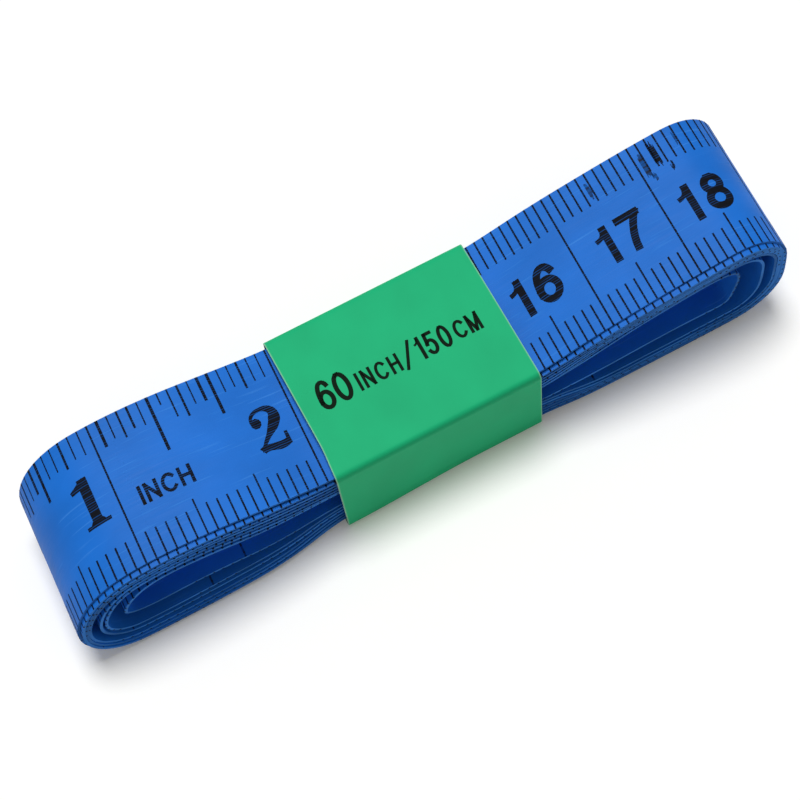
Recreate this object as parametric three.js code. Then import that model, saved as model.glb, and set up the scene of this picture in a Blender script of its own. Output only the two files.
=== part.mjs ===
// A cloth tape measure, wound flat into a long coil and held at its waist by a paper sleeve.
// Millimetres, +Z up. X runs along the coil, Y across the tape, and the sleeve stands on Z = 0.
import * as THREE from "three";

// The tape
const TAPE_LENGTH = 1508;
const TAPE_WIDTH = 20;
const TAPE_THICKNESS = 0.4;

// The winding, from the outer end on the sleeve's floor to the inner end on top of the floor's turns
const FULL_TURNS = 7;
const TURN_GAP = 0.43;
const WAIST_HOLLOW = 2.2;
const INNER_BEND_RADIUS = 1.65;

// The left loop, before the tape's length draws it in or out
const LEFT_REACH = 51.2;
const LEFT_UPPER_RADIUS = 10.6;
const LEFT_SHOULDER_ANGLE = 6;
const LEFT_WAIST_HANDLE = 5;
const LEFT_LEAN = 1.7;

// The right loop, whose end stands off the table
const RIGHT_REACH = 51.7;
const RIGHT_LIFT = 0.5;
const RIGHT_END_HEIGHT = 4.1;
const RIGHT_SHOULDER_ANGLE = 5;
const RIGHT_UNDER_ANGLE = 16;
const RIGHT_WAIST_HANDLE = 2;
const RIGHT_LEAN = 0.45;

// How the runs leave the waist
const LOOP_FLOOR = 0.1;
const DROOP_RUN = 9;
const WAIST_EASE = 1;
const SHOULDER_HANDLE = 13;
const UNDER_HANDLE = 8;
const LEAN_RUN = 20;
const OUTER_SET_BACK = 0.4;
const INNER_STAGGER = 0.2;
const STAGGER_STEP = 1.9;

// The paper sleeve, one strip wrapped round the waist and glued where its ends lap at the back
const SLEEVE_LENGTH = 28.6;
const SLEEVE_WALL = 0.3;
const SLEEVE_CLEARANCE = 0.35;
const SLEEVE_FOLD_RADIUS = 0.6;
const SLEEVE_LAP = 8;
const SLEEVE_FLAP_HEIGHT = 3.6;

// The metal tips, folded over both ends of the tape
const TIP_LENGTH = 8;
const TIP_WALL = 0.2;
const TIP_FIT = 0.03;
const TIP_INSET = 0.3;
const TIP_END_X = 9.5;

// Steps along each kind of run
const LINE_STEPS = 1;
const FLOOR_STEPS = 3;
const CURVE_STEPS = 7;
const DROOP_STEPS = 2;
const QUARTER_STEPS = 7;
const FOLD_STEPS = 4;

// Sizes that follow from the ones above
const HALF_TURN = 0.5;
const PITCH = TAPE_THICKNESS + TURN_GAP;
const STACK_DEPTH = FULL_TURNS * PITCH + TAPE_THICKNESS;
const BEND_RADIUS = STACK_DEPTH + INNER_BEND_RADIUS;
const WAIST_HEIGHT = 2 * STACK_DEPTH + WAIST_HOLLOW;
const WAIST_FLOOR = SLEEVE_WALL + SLEEVE_CLEARANCE;
const WAIST_ROOF = WAIST_FLOOR + WAIST_HEIGHT;
const FLAT_HALF = SLEEVE_LENGTH / 2 - WAIST_EASE;
const LEFT_LOOP_TOP = LOOP_FLOOR + BEND_RADIUS + LEFT_UPPER_RADIUS;
const RIGHT_LOOP_TOP = LOOP_FLOOR + RIGHT_LIFT + BEND_RADIUS + RIGHT_END_HEIGHT + BEND_RADIUS;

const radians = THREE.MathUtils.degToRad;

// A point on a circle, and the direction of travel there when going round it clockwise
function onCircle(centre, radius, angle) {
  const spoke = new THREE.Vector2(Math.cos(angle), Math.sin(angle));
  return {
    point: centre.clone().addScaledVector(spoke, radius),
    heading: new THREE.Vector2(spoke.y, -spoke.x),
  };
}

// The outer face of the outermost turn, seen from the front: along the floor to the left, round the
// left loop, over the top to the right, round the right loop and back. stretch lengthens both loops.
function coilOutline(stretch) {
  const at = (x, z) => new THREE.Vector2(x, z);
  const left = -LEFT_REACH - stretch;
  const right = RIGHT_REACH + stretch;
  const leftLower = at(left + BEND_RADIUS, LOOP_FLOOR + BEND_RADIUS);
  const leftUpper = at(left + LEFT_UPPER_RADIUS, leftLower.y);
  const rightLower = at(right - BEND_RADIUS, LOOP_FLOOR + RIGHT_LIFT + BEND_RADIUS);
  const rightUpper = at(rightLower.x, rightLower.y + RIGHT_END_HEIGHT);
  const leftTop = Math.PI / 2 + radians(LEFT_SHOULDER_ANGLE);
  const rightTop = Math.PI / 2 + radians(RIGHT_SHOULDER_ANGLE);
  const rightUnder = radians(RIGHT_UNDER_ANGLE) - Math.PI / 2;
  const leftShoulder = onCircle(leftUpper, LEFT_UPPER_RADIUS, leftTop);
  const rightShoulder = onCircle(rightUpper, BEND_RADIUS, rightTop);
  const under = onCircle(rightLower, BEND_RADIUS, rightUnder);
  const line = (from, to, steps) => ({ curve: new THREE.LineCurve(from, to), steps });
  const bend = (points, steps) => ({ curve: new THREE.CubicBezierCurve(...points), steps });
  const arc = (centre, radius, from, to, steps) => ({
    curve: new THREE.EllipseCurve(centre.x, centre.y, radius, radius, from, to, true),
    steps,
  });
  const ease = (from, to, steps) => {
    const middle = (from.x + to.x) / 2;
    return bend([from, at(middle, from.y), at(middle, to.y), to], steps);
  };
  const start = at(TIP_END_X, WAIST_FLOOR);
  const innerEnd = at(-TIP_END_X, WAIST_FLOOR);
  const floorLeft = at(-FLAT_HALF, WAIST_FLOOR);
  const droopLeft = at(-FLAT_HALF - DROOP_RUN, LOOP_FLOOR);
  const roofLeft = at(-FLAT_HALF, WAIST_ROOF);
  const roofRight = at(FLAT_HALF, WAIST_ROOF);
  const droopRight = at(FLAT_HALF + DROOP_RUN, LOOP_FLOOR);
  const floorRight = at(FLAT_HALF, WAIST_FLOOR);
  return [
    line(start, innerEnd, LINE_STEPS),
    { ...line(innerEnd, floorLeft, LINE_STEPS), innerEnd: true },
    ease(floorLeft, droopLeft, DROOP_STEPS),
    line(droopLeft, at(leftLower.x, LOOP_FLOOR), FLOOR_STEPS),
    arc(leftLower, BEND_RADIUS, -Math.PI / 2, -Math.PI, QUARTER_STEPS),
    arc(leftUpper, LEFT_UPPER_RADIUS, Math.PI, leftTop, QUARTER_STEPS),
    bend(
      [
        leftShoulder.point,
        leftShoulder.point.clone().addScaledVector(leftShoulder.heading, SHOULDER_HANDLE),
        at(-FLAT_HALF - LEFT_WAIST_HANDLE, WAIST_ROOF),
        roofLeft,
      ],
      CURVE_STEPS,
    ),
    line(roofLeft, roofRight, LINE_STEPS),
    bend(
      [
        roofRight,
        at(FLAT_HALF + RIGHT_WAIST_HANDLE, WAIST_ROOF),
        rightShoulder.point.clone().addScaledVector(rightShoulder.heading, -SHOULDER_HANDLE),
        rightShoulder.point,
      ],
      CURVE_STEPS,
    ),
    arc(rightUpper, BEND_RADIUS, rightTop, 0, QUARTER_STEPS),
    line(at(right, rightUpper.y), at(right, rightLower.y), LINE_STEPS),
    arc(rightLower, BEND_RADIUS, 0, rightUnder, QUARTER_STEPS),
    bend(
      [
        under.point,
        under.point.clone().addScaledVector(under.heading, UNDER_HANDLE),
        droopRight.clone().add(at(UNDER_HANDLE, 0)),
        droopRight,
      ],
      CURVE_STEPS,
    ),
    ease(droopRight, floorRight, DROOP_STEPS),
    line(floorRight, start, LINE_STEPS),
  ];
}

// The outline's steps: a point, the normal that points into the coil, and the share of a turn so far.
// last is the step at which the tape's inner end lies.
function outlineSteps(stretch) {
  const steps = [];
  let run = 0;
  let last = 0;
  for (const piece of coilOutline(stretch)) {
    const length = piece.curve.getLength();
    if (piece.innerEnd) last = steps.length;
    for (let i = 0; i < piece.steps; i++) {
      const share = i / piece.steps;
      const point = piece.curve.getPointAt(share);
      const heading = piece.curve.getTangentAt(share);
      steps.push({ point, inward: new THREE.Vector2(heading.y, -heading.x), run: run + share * length });
    }
    run += length;
  }
  for (const step of steps) step.turn = step.run / run;
  return { steps, last };
}

// The tape's centre line in the XZ plane, wound inwards from the outline by one pitch for each turn
function windTape(stretch) {
  const { steps, last } = outlineSteps(stretch);
  const wound = [];
  for (let i = 0; i <= FULL_TURNS * steps.length + last; i++) {
    const step = steps[i % steps.length];
    const turn = Math.floor(i / steps.length) + step.turn;
    const depth = TAPE_THICKNESS / 2 + PITCH * turn;
    wound.push({
      centre: step.point.clone().addScaledVector(step.inward, depth),
      inward: step.inward,
      turn,
    });
  }
  return wound;
}

function lengthOf(wound) {
  let length = 0;
  for (let i = 1; i < wound.length; i++) length += wound[i].centre.distanceTo(wound[i - 1].centre);
  return length;
}

// The loops are drawn in or out until the winding uses the whole tape
function fittedTape() {
  const shortest = lengthOf(windTape(0));
  const perStretch = lengthOf(windTape(1)) - shortest;
  return windTape((TAPE_LENGTH - shortest) / perStretch);
}

// How far a place on the tape lies towards the back. Outside the sleeve each loop leans forwards at its
// foot, the outermost turn is set back, and the turns inside it don't lie quite flush.
function sideways(centre, turn) {
  const clear = Math.abs(centre.x) - SLEEVE_LENGTH / 2;
  const share = THREE.MathUtils.smoothstep(clear, 0, LEAN_RUN);
  const left = centre.x < 0;
  const lean = left ? LEFT_LEAN : RIGHT_LEAN;
  const top = left ? LEFT_LOOP_TOP : RIGHT_LOOP_TOP;
  const pass = Math.floor(turn / HALF_TURN);
  const stagger = turn < 1 ? OUTER_SET_BACK : INNER_STAGGER * Math.sin(STAGGER_STEP * pass);
  return share * (stagger - lean * (1 - centre.y / top));
}

// The tape as one closed strip: a ring of four corners at each step, and a cap at each end
function tapeGeometry(wound) {
  const positions = [];
  const faces = [];
  const corners = [
    [-1, -1],
    [1, -1],
    [1, 1],
    [-1, 1],
  ];
  for (const { centre, inward, turn } of wound) {
    const middle = sideways(centre, turn);
    for (const [inner, back] of corners) {
      const face = centre.clone().addScaledVector(inward, (inner * TAPE_THICKNESS) / 2);
      positions.push(face.x, middle + (back * TAPE_WIDTH) / 2, face.y);
    }
  }
  const around = corners.length;
  for (let i = 0; i + 1 < wound.length; i++) {
    for (let side = 0; side < around; side++) {
      const a = i * around + side;
      const b = i * around + ((side + 1) % around);
      faces.push(a, b, b + around, a, b + around, a + around);
    }
  }
  const end = (wound.length - 1) * around;
  faces.push(0, 2, 1, 0, 3, 2);
  faces.push(end, end + 1, end + 2, end, end + 2, end + 3);
  const geometry = new THREE.BufferGeometry();
  geometry.setAttribute("position", new THREE.Float32BufferAttribute(positions, 3));
  geometry.setIndex(faces);
  geometry.computeVertexNormals();
  return geometry;
}

// The least clear space between two stretches of tape that are at least half a turn apart
function leastGap(wound) {
  let least = Infinity;
  const nearest = new THREE.Vector3();
  const piece = new THREE.Line3();
  const flat = ({ centre }) => new THREE.Vector3(centre.x, 0, centre.y);
  for (const step of wound) {
    const place = flat(step);
    for (let i = 1; i < wound.length; i++) {
      if (Math.abs(wound[i].turn - step.turn) < HALF_TURN) continue;
      piece.set(flat(wound[i - 1]), flat(wound[i]));
      piece.closestPointToPoint(place, true, nearest);
      least = Math.min(least, nearest.distanceTo(place) - TAPE_THICKNESS);
    }
  }
  return least;
}

// A folded metal tip: two flat legs over the tape and a round fold past its end, which lies at X = 0
function tipGeometry() {
  const inside = TAPE_THICKNESS / 2 + TIP_FIT;
  const outside = inside + TIP_WALL;
  const section = new THREE.Shape();
  section.moveTo(-TIP_LENGTH, outside);
  section.lineTo(-TIP_LENGTH, inside);
  section.lineTo(TIP_FIT, inside);
  section.absarc(TIP_FIT, 0, inside, Math.PI / 2, -Math.PI / 2, true);
  section.lineTo(-TIP_LENGTH, -inside);
  section.lineTo(-TIP_LENGTH, -outside);
  section.lineTo(TIP_FIT, -outside);
  section.absarc(TIP_FIT, 0, outside, -Math.PI / 2, Math.PI / 2, false);
  const geometry = new THREE.ExtrudeGeometry(section, {
    depth: TAPE_WIDTH - 2 * TIP_INSET,
    bevelEnabled: false,
    curveSegments: FOLD_STEPS,
  });
  geometry.rotateX(Math.PI / 2);
  geometry.translate(0, TAPE_WIDTH / 2 - TIP_INSET, 0);
  return geometry;
}

// A rectangle with round folds whose right side steps outwards at stepHeight, as the strip's ends lap there
function bandOutline(path, half, low, high, radius, stepHeight) {
  const quarter = Math.PI / 2;
  path.moveTo(radius - half, low);
  path.lineTo(half - radius, low);
  path.absarc(half - radius, low + radius, radius, -quarter, 0, false);
  path.lineTo(half, stepHeight);
  path.lineTo(half + SLEEVE_WALL, stepHeight);
  path.lineTo(half + SLEEVE_WALL, high - radius);
  path.absarc(half + SLEEVE_WALL - radius, high - radius, radius, 0, quarter, false);
  path.lineTo(radius - half, high);
  path.absarc(radius - half, high - radius, radius, quarter, 2 * quarter, false);
  path.lineTo(-half, low + radius);
  path.absarc(radius - half, low + radius, radius, 2 * quarter, 3 * quarter, false);
  return path;
}

// The sleeve, drawn in the YZ plane and drawn out along X
function sleeveGeometry() {
  const half = TAPE_WIDTH / 2 + SLEEVE_CLEARANCE;
  const roof = WAIST_ROOF + SLEEVE_CLEARANCE;
  const outerRadius = SLEEVE_FOLD_RADIUS + SLEEVE_WALL;
  const section = bandOutline(
    new THREE.Shape(),
    half + SLEEVE_WALL,
    0,
    roof + SLEEVE_WALL,
    outerRadius,
    SLEEVE_FLAP_HEIGHT,
  );
  section.holes.push(
    bandOutline(
      new THREE.Path(),
      half,
      SLEEVE_WALL,
      roof,
      SLEEVE_FOLD_RADIUS,
      SLEEVE_FLAP_HEIGHT + SLEEVE_LAP,
    ),
  );
  const geometry = new THREE.ExtrudeGeometry(section, {
    depth: SLEEVE_LENGTH,
    bevelEnabled: false,
    curveSegments: FOLD_STEPS,
  });
  geometry.translate(0, 0, -SLEEVE_LENGTH / 2);
  const alongX = new THREE.Matrix4().makeBasis(
    new THREE.Vector3(0, 1, 0),
    new THREE.Vector3(0, 0, 1),
    new THREE.Vector3(1, 0, 0),
  );
  geometry.applyMatrix4(alongX);
  return geometry;
}

function named(name, geometry, material) {
  const mesh = new THREE.Mesh(geometry, material);
  mesh.name = name;
  return mesh;
}

// A tip on the end of the tape at step, turned to lie along it
function tipAt(name, step, neighbour) {
  const along = step.centre.clone().sub(neighbour.centre);
  const tip = named(
    name,
    tipGeometry(),
    new THREE.MeshStandardMaterial({ color: 0xc9c6bd, roughness: 0.35, metalness: 1 }),
  );
  tip.position.set(step.centre.x, 0, step.centre.y);
  tip.rotation.y = -Math.atan2(along.y, along.x);
  return tip;
}

const wound = fittedTape();
console.log("tape", lengthOf(wound).toFixed(1), "mm, least gap to itself", leastGap(wound).toFixed(3), "mm");

const tapeMeasure = new THREE.Group();
tapeMeasure.add(
  named(
    "tape_strip",
    tapeGeometry(wound),
    new THREE.MeshStandardMaterial({ color: 0x1f6fd6, roughness: 0.45, metalness: 0 }),
  ),
  tipAt("start_tip", wound[0], wound[1]),
  tipAt("end_tip", wound[wound.length - 1], wound[wound.length - 2]),
  named(
    "paper_sleeve",
    sleeveGeometry(),
    new THREE.MeshStandardMaterial({ color: 0x1f9a5b, roughness: 0.7, metalness: 0 }),
  ),
);

export default tapeMeasure;
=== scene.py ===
"""A cloth tape measure, wound flat and held by a paper sleeve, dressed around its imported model.

Every soft piece is made the way a maker makes it: cut flat, printed flat, then laid along a path.
The tape's path is its winding, the sleeve's is the fold round the waist, a tip's is its own fold.
"""
import math
from bisect import bisect_right

import bmesh
import bpy
from bpy.props import FloatProperty, FloatVectorProperty, IntProperty, PointerProperty
from mathutils import Matrix, Vector, noise
from mathutils.geometry import interpolate_bezier


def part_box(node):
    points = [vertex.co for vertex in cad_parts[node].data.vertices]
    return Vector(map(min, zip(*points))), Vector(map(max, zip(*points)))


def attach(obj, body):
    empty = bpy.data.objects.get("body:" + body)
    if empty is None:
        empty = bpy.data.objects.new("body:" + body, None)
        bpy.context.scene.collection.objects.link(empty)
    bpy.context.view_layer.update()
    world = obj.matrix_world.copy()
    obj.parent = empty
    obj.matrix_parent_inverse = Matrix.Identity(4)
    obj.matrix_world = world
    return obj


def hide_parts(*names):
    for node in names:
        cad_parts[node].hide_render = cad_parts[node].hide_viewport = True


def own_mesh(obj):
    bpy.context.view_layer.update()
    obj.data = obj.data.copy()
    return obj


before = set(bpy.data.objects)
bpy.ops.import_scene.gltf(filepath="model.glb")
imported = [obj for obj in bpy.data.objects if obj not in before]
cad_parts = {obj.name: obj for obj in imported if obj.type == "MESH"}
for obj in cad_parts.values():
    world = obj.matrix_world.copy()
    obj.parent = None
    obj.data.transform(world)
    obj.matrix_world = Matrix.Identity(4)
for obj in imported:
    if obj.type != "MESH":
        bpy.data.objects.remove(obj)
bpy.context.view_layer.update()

bl_info = {
    "name": "Cloth Tape Measure",
    "version": (1, 0, 0),
    "blender": (4, 5, 0),
    "location": "View3D > Sidebar > Tape Measure",
    "description": "Winds, prints and sleeves a cloth tape measure",
    "category": "Object",
}

MM = 0.001
TAPE_LOW, TAPE_HIGH = map(Vector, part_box("tape_strip"))
SLEEVE_LOW, SLEEVE_HIGH = map(Vector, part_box("paper_sleeve"))
START_TIP_LOW, START_TIP_HIGH = map(Vector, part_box("start_tip"))
END_TIP_LOW, END_TIP_HIGH = map(Vector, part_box("end_tip"))
PATH_STEP = 0.4 * MM
# How far ink stands off what it is printed on, and how thick it is
INK_LIFT = 0.006 * MM
INK_DEPTH = 0.012 * MM
# How squarely a face or a normal points a way to be taken as facing it
FACING = 0.5


def in_mm(*lengths):
    """Lengths that are given in millimetres."""
    return [length * MM for length in lengths]


def length_property(name, description, millimetres):
    """A length that a user can change."""
    return FloatProperty(name=name, description=description, default=millimetres * MM, unit="LENGTH")


def angle_property(name, description, degrees):
    """An angle that a user can change."""
    return FloatProperty(name=name, description=description, default=math.radians(degrees), subtype="ANGLE")


def colour_property(name, description, colour):
    """A colour that a user can change."""
    return FloatVectorProperty(name=name, description=description, default=colour, subtype="COLOR", size=4)


class TapeSizes(bpy.types.PropertyGroup):
    """The tape and how it is wound."""

    width: length_property("Width", "Width of the tape", 20)
    thickness: length_property("Thickness", "Thickness of the coated cloth", 0.4)
    turns: IntProperty(name="Turns", description="Full turns before the inner end", default=7)
    run_pitch: length_property("Run pitch", "From turn to turn along the loops", 0.46)
    waist_pitch: length_property("Waist pitch", "From turn to turn inside the sleeve", 0.83)
    left_upper_radius: length_property("Left upper bend", "Upper bend of the left loop", 10.6)
    bend_radius: length_property("Bend", "The other bends of the loops", 7.86)
    waist_roof: length_property("Waist roof", "Top of the coil inside the sleeve", 15.27)
    waist_floor: length_property("Waist floor", "Foot of the coil inside the sleeve", 0.65)
    left_lean: length_property("Left lean", "How far the left loop's foot lies forwards", 1.7)
    right_lean: length_property("Right lean", "How far the right loop's foot lies forwards", 0.25)


class PrintSizes(bpy.types.PropertyGroup):
    """The scales printed on the tape."""

    inch: length_property("Inch", "From inch line to inch line", 24.7)
    cell: length_property("Cell", "From line to line right of the sleeve", 12.75)
    inch_parts: IntProperty(name="Parts of an inch", description="Ticks for each inch", default=18)
    cell_parts: IntProperty(name="Parts of a cell", description="Ticks for each cell", default=10)
    line: length_property("Line", "Width of a printed line", 0.25)
    first_inch: length_property("First inch line", "Where the line at 1 lies", -39.55)
    first_cell: length_property("First cell line", "Where the line after 16 lies", 25.6)


class SleeveSizes(bpy.types.PropertyGroup):
    """The paper sleeve."""

    paper: length_property("Paper", "Thickness of the paper", 0.3)
    fold: length_property("Fold", "Inner radius of the folds", 0.6)
    lap: length_property("Lap", "How far the glued ends lap", 8)
    flap: length_property("Flap", "Height of the outer end", 3.6)
    bulge: length_property("Bulge", "How far the top swells", 0.14)


class Colours(bpy.types.PropertyGroup):
    """The colours of the finishes."""

    tape: colour_property("Tape", "Coated cloth", (0.01, 0.15, 0.62, 1))
    # The cut edge's own colour, darkened a little for painted shade over the stacked edges of the loops
    cut_edge: colour_property("Cut edge", "Cut edge of the cloth", (0.025, 0.145, 0.47, 1))
    ink: colour_property("Ink", "Printing ink", (0.005, 0.006, 0.01, 1))
    scratch: colour_property("Scratch", "Worn streaks", (0.06, 0.27, 0.78, 1))
    paper: colour_property("Paper", "Printed face of the sleeve", (0.009, 0.43, 0.185, 1))
    sleeve_ink: colour_property("Sleeve ink", "Lettering of the sleeve", (0.004, 0.012, 0.006, 1))
    paper_core: colour_property("Paper core", "Cut edge and inside", (0.5, 0.68, 0.55, 1))
    metal: colour_property("Metal", "Plated tips", (0.62, 0.6, 0.55, 1))


class StageSizes(bpy.types.PropertyGroup):
    """The camera and the light."""

    focal: FloatProperty(name="Focal length", description="In pixels of an 800 pixel frame", default=2200)
    elevation: angle_property("Elevation", "Of the camera", 67.2)
    azimuth: angle_property("Azimuth", "Of the camera", 19.5)
    roll: angle_property("Roll", "Of the picture", 9)
    distance: length_property("Distance", "From the sleeve's foot", 292.5)
    key: FloatProperty(name="Key light", description="Strength of the main lamp", default=2.43)


class Path:
    """A line in a plane, with the place and the normal at each distance along it."""

    def __init__(self, points, sides=None):
        self.points = points
        self.sides = sides or [0.0] * len(points)
        self.run = [0.0]
        for before, after in zip(points, points[1:]):
            self.run.append(self.run[-1] + (after - before).length)
        self.normals = []
        last = len(points) - 1
        for i in range(len(points)):
            along = (points[min(i + 1, last)] - points[max(i - 1, 0)]).normalized()
            self.normals.append(Vector((-along.y, along.x)))

    @property
    def length(self):
        """Length of the whole line."""
        return self.run[-1]

    def at(self, distance):
        """Point, outward normal and sideways place at that distance."""
        i = min(max(bisect_right(self.run, distance) - 1, 0), len(self.run) - 2)
        share = (distance - self.run[i]) / (self.run[i + 1] - self.run[i])
        point = self.points[i].lerp(self.points[i + 1], share)
        normal = self.normals[i].lerp(self.normals[i + 1], share).normalized()
        side = self.sides[i] + (self.sides[i + 1] - self.sides[i]) * share
        return point, normal, side


def smooth(value, low, high):
    """0 below low, 1 above high, with an eased rise between them."""
    share = min(max((value - low) / (high - low), 0.0), 1.0)
    return share * share * (3 - 2 * share)


def sweep(start, stop, steps):
    """Angles in even steps, from one in degrees to another."""
    return [math.radians(start + (stop - start) * i / steps) for i in range(steps + 1)]


def arc(centre, radius, start, stop, steps=60):
    """Points round a centre, from one angle in degrees to another."""
    return [centre + radius * Vector((math.cos(a), math.sin(a))) for a in sweep(start, stop, steps)]


def bend(start, start_handle, end_handle, end, steps=60):
    """Points of a curve with two handles."""
    return [Vector(point) for point in interpolate_bezier(start, start_handle, end_handle, end, steps)]


def even_points(points, step):
    """The same line with points a step apart."""
    path = Path(points)
    count = max(2, round(path.length / step))
    return [path.at(path.length * i / count)[0] for i in range(count + 1)]


# The loops: the height of their foot, the lift, stretch and straight end of the right one
LOOP_FLOOR = 0.1 * MM
RIGHT_LIFT = 0.2 * MM
RIGHT_STRETCH = 0.3 * MM
RIGHT_END_HEIGHT = 4.4 * MM
# Angles in degrees at which the bends pass into the runs
LEFT_SHOULDER = 96
RIGHT_SHOULDER = 95
RIGHT_UNDER = -88
# Lengths of the curves and handles between the bends and the sleeve
DROOP_RUN = 9 * MM
WAIST_EASE = 1 * MM
LEFT_WAIST_HANDLE = 5 * MM
RIGHT_WAIST_HANDLE = 2 * MM
SHOULDER_HANDLE = 13 * MM
UNDER_HANDLE = 8 * MM
# How far the tape's end lies inside the nose of its tip
TIP_NOSE = 0.46 * MM
# Points nearer to each other than this are one
SAME_PLACE = PATH_STEP / 10


def heading(degrees, length):
    """A step along a clockwise bend, at an angle round its centre."""
    angle = math.radians(degrees)
    return Vector((math.sin(angle), -math.cos(angle))) * length


def coil_outline(tape):
    """The outer face of the outermost turn, clockwise seen from the front, from the outer end."""
    flat_half = SLEEVE_HIGH.x - WAIST_EASE
    low_centre = Vector((TAPE_LOW.x + tape.bend_radius, LOOP_FLOOR + tape.bend_radius))
    high_centre = Vector((TAPE_LOW.x + tape.left_upper_radius, low_centre.y))
    right_reach = TAPE_HIGH.x + RIGHT_STRETCH
    right_low = Vector((right_reach - tape.bend_radius, LOOP_FLOOR + RIGHT_LIFT + tape.bend_radius))
    right_high = right_low + Vector((0, RIGHT_END_HEIGHT))
    left_upper = arc(high_centre, tape.left_upper_radius, 180, LEFT_SHOULDER)
    right_end = arc(right_high, tape.bend_radius, RIGHT_SHOULDER, 0)
    right_end += arc(right_low, tape.bend_radius, 0, RIGHT_UNDER)
    left_out = heading(LEFT_SHOULDER, SHOULDER_HANDLE)
    right_out = heading(RIGHT_SHOULDER, SHOULDER_HANDLE)
    under_out = heading(RIGHT_UNDER, UNDER_HANDLE)
    droop_left = Vector((-flat_half - DROOP_RUN, LOOP_FLOOR))
    droop_right = Vector((flat_half + DROOP_RUN, LOOP_FLOOR))
    floor_left = Vector((-flat_half, tape.waist_floor))
    floor_right = Vector((flat_half, tape.waist_floor))
    roof_left = Vector((-flat_half, tape.waist_roof))
    roof_right = Vector((flat_half, tape.waist_roof))
    ease = Vector((DROOP_RUN / 2, 0))
    left_ease = Vector((LEFT_WAIST_HANDLE, 0))
    right_ease = Vector((RIGHT_WAIST_HANDLE, 0))
    flare = Vector((UNDER_HANDLE, 0))
    start = Vector((START_TIP_HIGH.x - TIP_NOSE, tape.waist_floor))
    pieces = [
        [start],
        bend(floor_left, floor_left - ease, droop_left + ease, droop_left),
        arc(low_centre, tape.bend_radius, -90, -180),
        left_upper,
        bend(left_upper[-1], left_upper[-1] + left_out, roof_left - left_ease, roof_left),
        bend(roof_right, roof_right + right_ease, right_end[0] - right_out, right_end[0]),
        right_end,
        bend(right_end[-1], right_end[-1] + under_out, droop_right + flare, droop_right),
        bend(droop_right, droop_right - ease, floor_right + ease, floor_right),
        [start],
    ]
    points = []
    for piece in pieces:
        for point in piece:
            if not points or (point - points[-1]).length > SAME_PLACE:
                points.append(point)
    return even_points(points, PATH_STEP)


# How far each turn's bend lies inside the outermost one, at the left and at the right
LEFT_INSETS = in_mm(0, 0.5, 1.0, 1.5, 3.1, 3.8, 5.9)
RIGHT_INSETS = in_mm(0, 0.55, 1.1, 1.65, 2.3, 4.1, 7.4)
INSET_START = 32 * MM
# How far each turn's lower run rises off the ones under it, at the left and at the right
LEFT_RISES = in_mm(0, 0, 0, 0, 0.25, 0.5, 2.3)
RIGHT_RISES = in_mm(0, 0, 0, 0, 0.1, 0.6, 3.6)
RISE_RUN = 14 * MM
# How far out of the sleeve the turns have closed up
LEFT_CLOSING = 24 * MM
RIGHT_CLOSING = 12 * MM
# How far out of the sleeve the turns lie fully to their side, and the loops lean fully forwards
STAGGER_RUN = 20 * MM
OUTER_STAGGER_RUN = 6 * MM
LEFT_LEAN_RUN = 10 * MM
RIGHT_LEAN_RUN = 6 * MM
# How far each turn lies towards the back, in order from the outer end
LEFT_TOP_SIDES = in_mm(0.3, -0.35, -0.45, -0.45, -0.55, -0.65, -0.75, 0)
LEFT_FOOT_SIDES = in_mm(0.1, -0.4, -0.2, 0.0, 0.35, 0.55, 1.45, 0)
RIGHT_TOP_SIDES = in_mm(0.55, -0.25, -0.25, -0.25, -0.25, -0.25, -0.25)
RIGHT_FOOT_SIDES = in_mm(0.0, -0.05, 0.0, 0.0, 0.05, 0.1, 0.2)
# How much of that is left inside the sleeve, for the outermost turn and for the others
OUTER_HELD = 0.55
INNER_HELD = 0.1
# Heights at which the left loop's foot ends and its top starts
FOOT_TOP = 3 * MM
TOP_FOOT = 13 * MM
# How far up the right loop's tape faces where its foot ends, from -1 for down to 1 for up
RIGHT_UPTURN = -0.2
# How many path steps each turn's bends are eased over, and how many its sideways places are
BEND_IRONS = (4, 4, 4, 4, 4, 6, 22)
SIDE_IRON = 12


def ironed(values, reaches):
    """The values, each averaged with its neighbours up to its reach, or fewer near an end."""
    total = [0.0]
    for value in values:
        total.append(total[-1] + value)
    last = len(values) - 1
    nears = [min(reach, i, last - i) for i, reach in enumerate(reaches)]
    return [(total[i + near + 1] - total[i - near]) / (2 * near + 1) for i, near in enumerate(nears)]


def of_turn(values, turn):
    """A turn's own value. Turns past the end of the list take its last one."""
    return values[min(turn, len(values) - 1)]


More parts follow.
